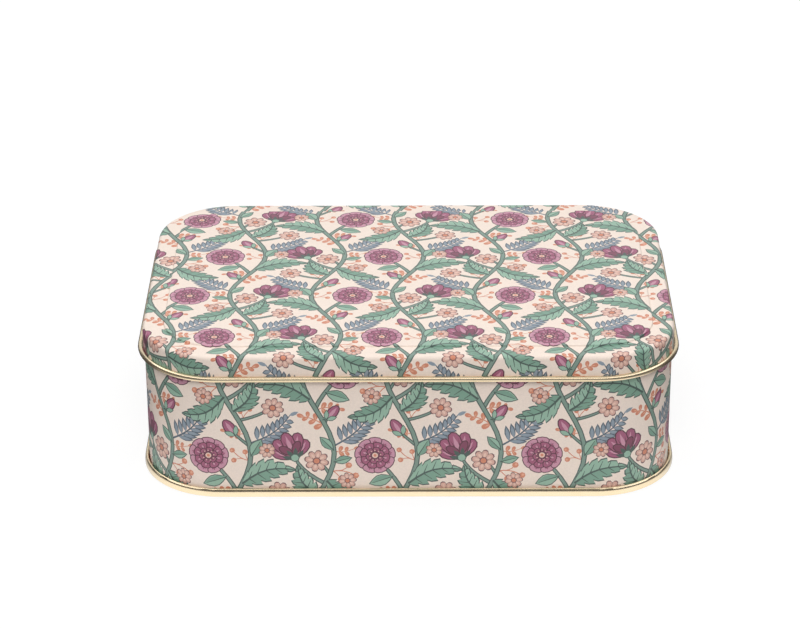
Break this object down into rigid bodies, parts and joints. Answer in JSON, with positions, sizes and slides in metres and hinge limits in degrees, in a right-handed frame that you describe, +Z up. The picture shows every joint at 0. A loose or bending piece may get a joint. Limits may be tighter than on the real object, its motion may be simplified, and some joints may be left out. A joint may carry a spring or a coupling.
{
  "type": "flat keepsake tin with lift-off lid",
  "caption": "Flat rectangular tinplate box with large round corners, a double-seamed base and a shallow lift-off lid with a raised panel and a rolled edge.",
  "frame": {"origin": "where the middle of the box meets the surface that it stands on", "axes": "+X along the long side to the right, +Y to the back where the lock seam is, +Z up, the way the lid lifts"},
  "size_m": [0.2, 0.14, 0.0579],
  "materials": {
    "body_wall": "cream tinplate printed all over with a floral pattern under satin varnish",
    "base_panel": "tinplate with clear gold lacquer, glossy",
    "lid": "cream tinplate printed all over with a floral pattern under satin varnish, gold lacquer inside and on the rolled edge"
  },
  "bodies": {
    "box": {"body_wall": "body_wall", "base_panel": "base_panel"},
    "lid": {"lid": "lid"}
  },
  "joints": [
    {"name": "lid_lift", "type": "slide", "parent": "box", "child": "lid", "axis": [0, 0, 1], "range_m": [0, 0.1]}
  ]
}
